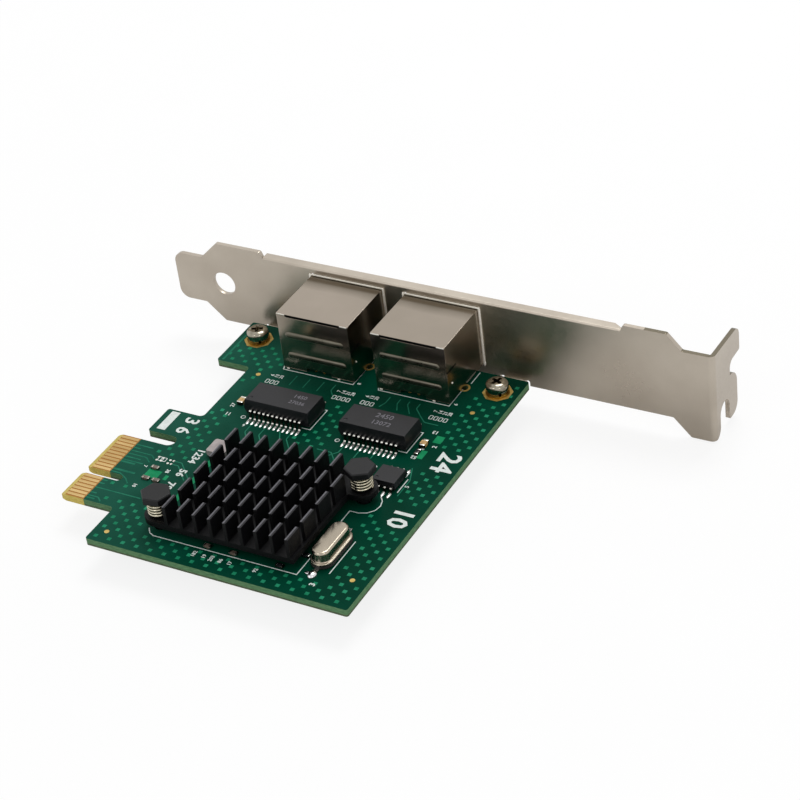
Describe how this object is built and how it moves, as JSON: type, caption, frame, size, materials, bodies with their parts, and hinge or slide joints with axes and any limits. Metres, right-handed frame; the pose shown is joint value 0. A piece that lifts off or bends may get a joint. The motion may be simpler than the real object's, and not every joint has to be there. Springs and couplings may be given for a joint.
{
  "type": "network interface card",
  "caption": "Expansion card with network jacks on a slot bracket, edge contacts and a finned heat sink held by sprung push pins.",
  "frame": {"origin": "on the tips of the edge contacts, at the centre of the key slot and midway through the board", "axes": "+X along the slot bracket from the edge contacts to the screw tab, +Y across the board to the bracket and the ports, +Z out of the component side"},
  "size_m": [0.1208, 0.0879, 0.0229],
  "materials": {
    "solder_mask": "green solder mask",
    "gold_plating": "gold plated",
    "bracket_steel": "nickel plated",
    "screw_steel": "zinc plated",
    "shield_steel": "tin plated",
    "jack_plastic": "moulded",
    "contact_gold": "gold plated",
    "green_light": "clear",
    "amber_light": "clear",
    "solder": "bright",
    "package_black": "moulded",
    "tinned_lead": "tinned",
    "thermal_rubber": "soft",
    "sink_aluminium": "black anodised",
    "pin_plastic": "moulded",
    "spring_steel": "bright",
    "crystal_metal": "bright nickel",
    "insulator": "moulded",
    "ferrite": "matt",
    "tan_ceramic": "matt",
    "resistor_black": "glazed"
  },
  "bodies": {
    "root": {"circuit_board": "solder_mask", "edge_contacts_front": "gold_plating", "edge_contacts_back": "gold_plating", "screw_pads": "gold_plating", "shield_leg_pads": "gold_plating", "test_points": "gold_plating", "mounting_bracket": "bracket_steel", "bracket_screws": "screw_steel", "flat_washers": "screw_steel", "lock_washers": "screw_steel", "jack_shield_left": "shield_steel", "jack_shield_right": "shield_steel", "jack_housing_left": "jack_plastic", "jack_housing_right": "jack_plastic", "jack_contacts_left": "contact_gold", "jack_contacts_right": "contact_gold", "link_lights": "green_light", "activity_lights": "amber_light", "jack_pin_solder": "solder", "transformer_body_left": "package_black", "transformer_body_right": "package_black", "transformer_leads_left": "tinned_lead", "transformer_leads_right": "tinned_lead", "controller_chip": "package_black", "controller_pads": "solder", "thermal_pad": "thermal_rubber", "heat_sink": "sink_aluminium", "push_pins": "pin_plastic", "push_pin_springs": "spring_steel", "crystal_base": "insulator", "crystal_can": "crystal_metal", "crystal_leads": "tinned_lead", "memory_chip": "package_black", "memory_leads": "tinned_lead", "power_inductor": "ferrite", "inductor_feet": "tinned_lead", "filter_capacitors": "tan_ceramic", "filter_capacitor_ends": "tinned_lead", "coupling_capacitors": "tan_ceramic", "coupling_capacitor_ends": "tinned_lead", "chip_resistors": "resistor_black", "chip_resistor_ends": "tinned_lead"}
  },
  "joints": []
}
